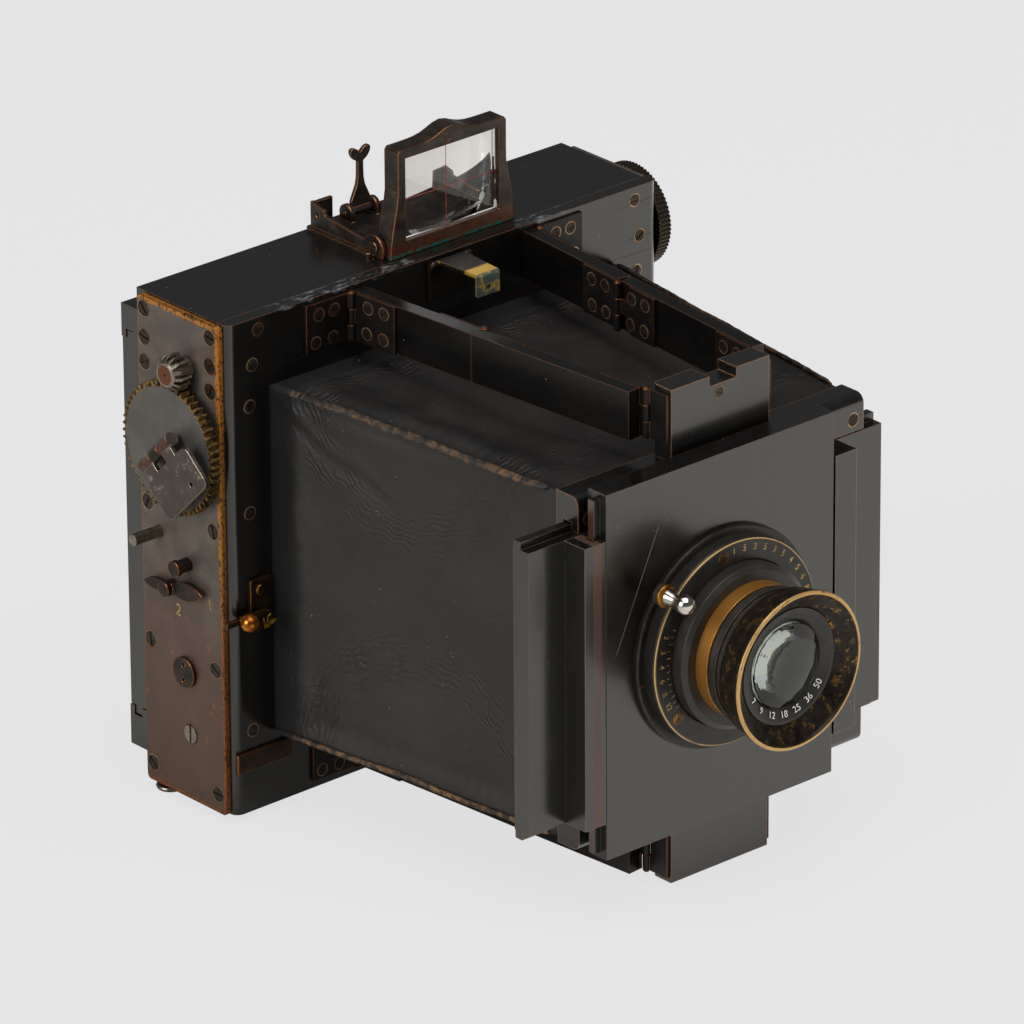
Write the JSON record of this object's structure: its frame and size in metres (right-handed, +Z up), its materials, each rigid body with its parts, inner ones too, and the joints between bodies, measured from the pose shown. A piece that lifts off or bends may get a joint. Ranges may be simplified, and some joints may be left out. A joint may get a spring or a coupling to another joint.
{
  "type": "hand camera",
  "caption": "Strut-folding wooden hand camera with leather bellows, rising and cross front, roller blind shutter with exposed winding gear, and folding frame finder.",
  "frame": {"origin": "mouth of the tripod bush, in the middle of the underside of the case", "axes": "+Y from the lens to the back of the case, +X to the right when looking along +Y, +Z up"},
  "size_m": [0.1984, 0.2222, 0.2071],
  "materials": {
    "black_wood": "black stained and polished, worn",
    "dark_metal": "blackened brass, worn at the edges",
    "worn_brass": "worn brass",
    "nickel": "dull nickel plate",
    "black_metal": "black lacquer, worn",
    "leather": "soft matt black leather",
    "glass": "clear"
  },
  "bodies": {
    "case": {"case_frame": "black_wood", "front_board": "black_wood", "gate_board": "black_wood", "left_plate": "dark_metal", "right_plate": "dark_metal", "plate_screws": "black_metal", "front_screws": "black_metal", "back_rail_top": "black_wood", "back_rail_bottom": "black_wood", "tripod_bush": "worn_brass", "strap_studs": "nickel", "shutter_blind": "leather", "selector_stop": "dark_metal", "spanner_nut": "dark_metal", "release_bracket": "worn_brass", "stop_strip": "worn_brass", "catch_base": "black_metal", "body_hinge_leaves": "black_metal", "finder_base": "dark_metal", "bellows": "leather"},
    "plate_holder": {"plate_holder": "black_wood"},
    "dark_slide": {"dark_slide": "black_metal"},
    "upper_roller": {"upper_roller": "nickel", "pinion": "nickel", "tension_knob": "nickel"},
    "lower_roller": {"lower_roller": "nickel"},
    "winding_gear": {"winding_gear": "dark_metal", "winding_arbor": "dark_metal"},
    "winding_key": {"winding_key": "dark_metal"},
    "selector": {"selector_lever": "worn_brass"},
    "plunger": {"release_plunger": "nickel"},
    "release_lever": {"release_lever": "worn_brass"},
    "catch_hook": {"catch_hook": "worn_brass"},
    "left_rear_struts": {"left_rear_struts": "black_wood", "left_rear_leaves": "black_metal"},
    "left_front_struts": {"left_front_struts": "black_wood", "left_front_leaves": "black_metal"},
    "right_rear_struts": {"right_rear_struts": "black_wood", "right_rear_leaves": "black_metal"},
    "right_front_struts": {"right_front_struts": "black_wood", "right_front_leaves": "black_metal"},
    "front_standard": {"front_frame": "black_wood", "top_block": "black_wood", "bottom_block": "black_wood", "frame_hinge_leaves": "black_metal"},
    "cross_panel": {"cross_panel": "black_wood", "guide_rails": "black_wood"},
    "lens_board": {"lens_board": "black_wood", "lens_flange": "black_metal", "scale_plate": "black_metal"},
    "focus_ring": {"focus_ring": "black_metal"},
    "lens_barrel": {"lens_barrel": "worn_brass", "lens_hood": "black_metal", "name_ring": "black_metal", "lens_glass": "glass"},
    "iris_ring": {"iris_ring": "black_metal"},
    "finder": {"finder_frame": "dark_metal", "finder_glass": "glass"},
    "finder_sight": {"finder_sight": "dark_metal"}
  },
  "joints": [
    {"name": "fold", "type": "hinge", "parent": "case", "child": "left_rear_struts", "pos_m": [-0.0386, -0.0228, 0.083], "axis": [0, 0, -1], "range_deg": [0, 94.93], "deforming": ["bellows"]},
    {"name": "left_knee", "type": "hinge", "parent": "left_rear_struts", "child": "left_front_struts", "pos_m": [-0.02715, -0.07162, 0.083], "axis": [0, 0, 1], "range_deg": [0, 180]},
    {"name": "left_front_hinge", "type": "hinge", "parent": "left_front_struts", "child": "front_standard", "pos_m": [-0.0214, -0.1382, 0.083], "axis": [0, 0, -1], "range_deg": [0, 85.07]},
    {"name": "right_fold", "type": "hinge", "parent": "case", "child": "right_rear_struts", "pos_m": [0.0386, -0.0228, 0.083], "axis": [0, 0, 1], "range_deg": [0, 94.93]},
    {"name": "right_front_hinge", "type": "hinge", "parent": "front_standard", "child": "right_front_struts", "pos_m": [0.0214, -0.1382, 0.083], "axis": [0, 0, -1], "range_deg": [0, 85.07]},
    {"name": "cross_shift", "type": "slide", "parent": "front_standard", "child": "cross_panel", "axis": [1, 0, 0], "range_m": [-0.01, 0.02]},
    {"name": "rise", "type": "slide", "parent": "cross_panel", "child": "lens_board", "axis": [0, 0, 1], "range_m": [-0.015, 0.011]},
    {"name": "focus_turn", "type": "hinge", "parent": "lens_board", "child": "focus_ring", "pos_m": [-0.0089, -0.1578, 0.0845], "axis": [0, 1, 0], "range_deg": [0, 90]},
    {"name": "focus_travel", "type": "slide", "parent": "lens_board", "child": "lens_barrel", "axis": [0, -1, 0], "range_m": [0, 0.0025]},
    {"name": "iris_turn", "type": "hinge", "parent": "lens_barrel", "child": "iris_ring", "pos_m": [-0.0089, -0.1578, 0.0845], "axis": [0, 1, 0], "range_deg": [0, 60]},
    {"name": "winding_turn", "type": "hinge", "parent": "case", "child": "winding_gear", "pos_m": [-0.08925, -0.002, 0.12088], "axis": [1, 0, 0], "range_deg": [0, 300]},
    {"name": "upper_roller_turn", "type": "hinge", "parent": "case", "child": "upper_roller", "pos_m": [0, -0.0046, 0.147], "axis": [1, 0, 0], "range_deg": [-1201, 1]},
    {"name": "lower_roller_turn", "type": "hinge", "parent": "case", "child": "lower_roller", "pos_m": [0, -0.0026, 0.0225], "axis": [1, 0, 0], "range_deg": [-1201, 1]},
    {"name": "key_fold", "type": "hinge", "parent": "winding_gear", "child": "winding_key", "pos_m": [-0.09945, -0.002, 0.12088], "axis": [0, 0.7071, -0.7071], "range_deg": [0, 90]},
    {"name": "selector_turn", "type": "hinge", "parent": "case", "child": "selector", "pos_m": [-0.08925, 0.0039, 0.07098], "axis": [1, 0, 0], "range_deg": [0, 84]},
    {"name": "plunger_press", "type": "slide", "parent": "case", "child": "plunger", "axis": [1, 0, 0], "range_m": [0, 0.004], "stiffness_N_per_m": 300, "springref_m": -0.001},
    {"name": "release_press", "type": "hinge", "parent": "case", "child": "release_lever", "pos_m": [-0.075, -0.0239, 0.0655], "axis": [0, 1, 0], "range_deg": [-12, 0], "stiffness_Nm_per_rad": 0.05, "springref_deg": 5.73},
    {"name": "catch_lift", "type": "hinge", "parent": "case", "child": "catch_hook", "pos_m": [0.0012, -0.0235, 0.1631], "axis": [-1, 0, 0], "range_deg": [0, 24], "stiffness_Nm_per_rad": 0.05, "springref_deg": -8.59},
    {"name": "finder_fold", "type": "hinge", "parent": "case", "child": "finder", "pos_m": [0.0087, -0.01, 0.1684], "axis": [-1, 0, 0], "range_deg": [0, 50]},
    {"name": "sight_fold", "type": "hinge", "parent": "case", "child": "finder_sight", "pos_m": [-0.0013, 0.0164, 0.1686], "axis": [1, 0, 0], "range_deg": [0, 90]},
    {"name": "plate_holder_slide", "type": "slide", "parent": "case", "child": "plate_holder", "axis": [1, 0, 0], "range_m": [0, 0.18]},
    {"name": "dark_slide_pull", "type": "slide", "parent": "plate_holder", "child": "dark_slide", "axis": [1, 0, 0], "range_m": [0, 0.125]}
  ],
  "couplings": [
    {"joint": "left_knee", "follows": "fold", "ratio": 1.896},
    {"joint": "left_front_hinge", "follows": "fold", "ratio": 0.89595},
    {"joint": "right_fold", "follows": "fold", "ratio": 1},
    {"joint": "right_front_hinge", "follows": "fold", "ratio": 0.89595},
    {"joint": "focus_travel", "follows": "focus_turn", "m_per_rad": 0.001592},
    {"joint": "upper_roller_turn", "follows": "winding_turn", "ratio": -4},
    {"joint": "lower_roller_turn", "follows": "winding_turn", "ratio": -4}
  ]
}
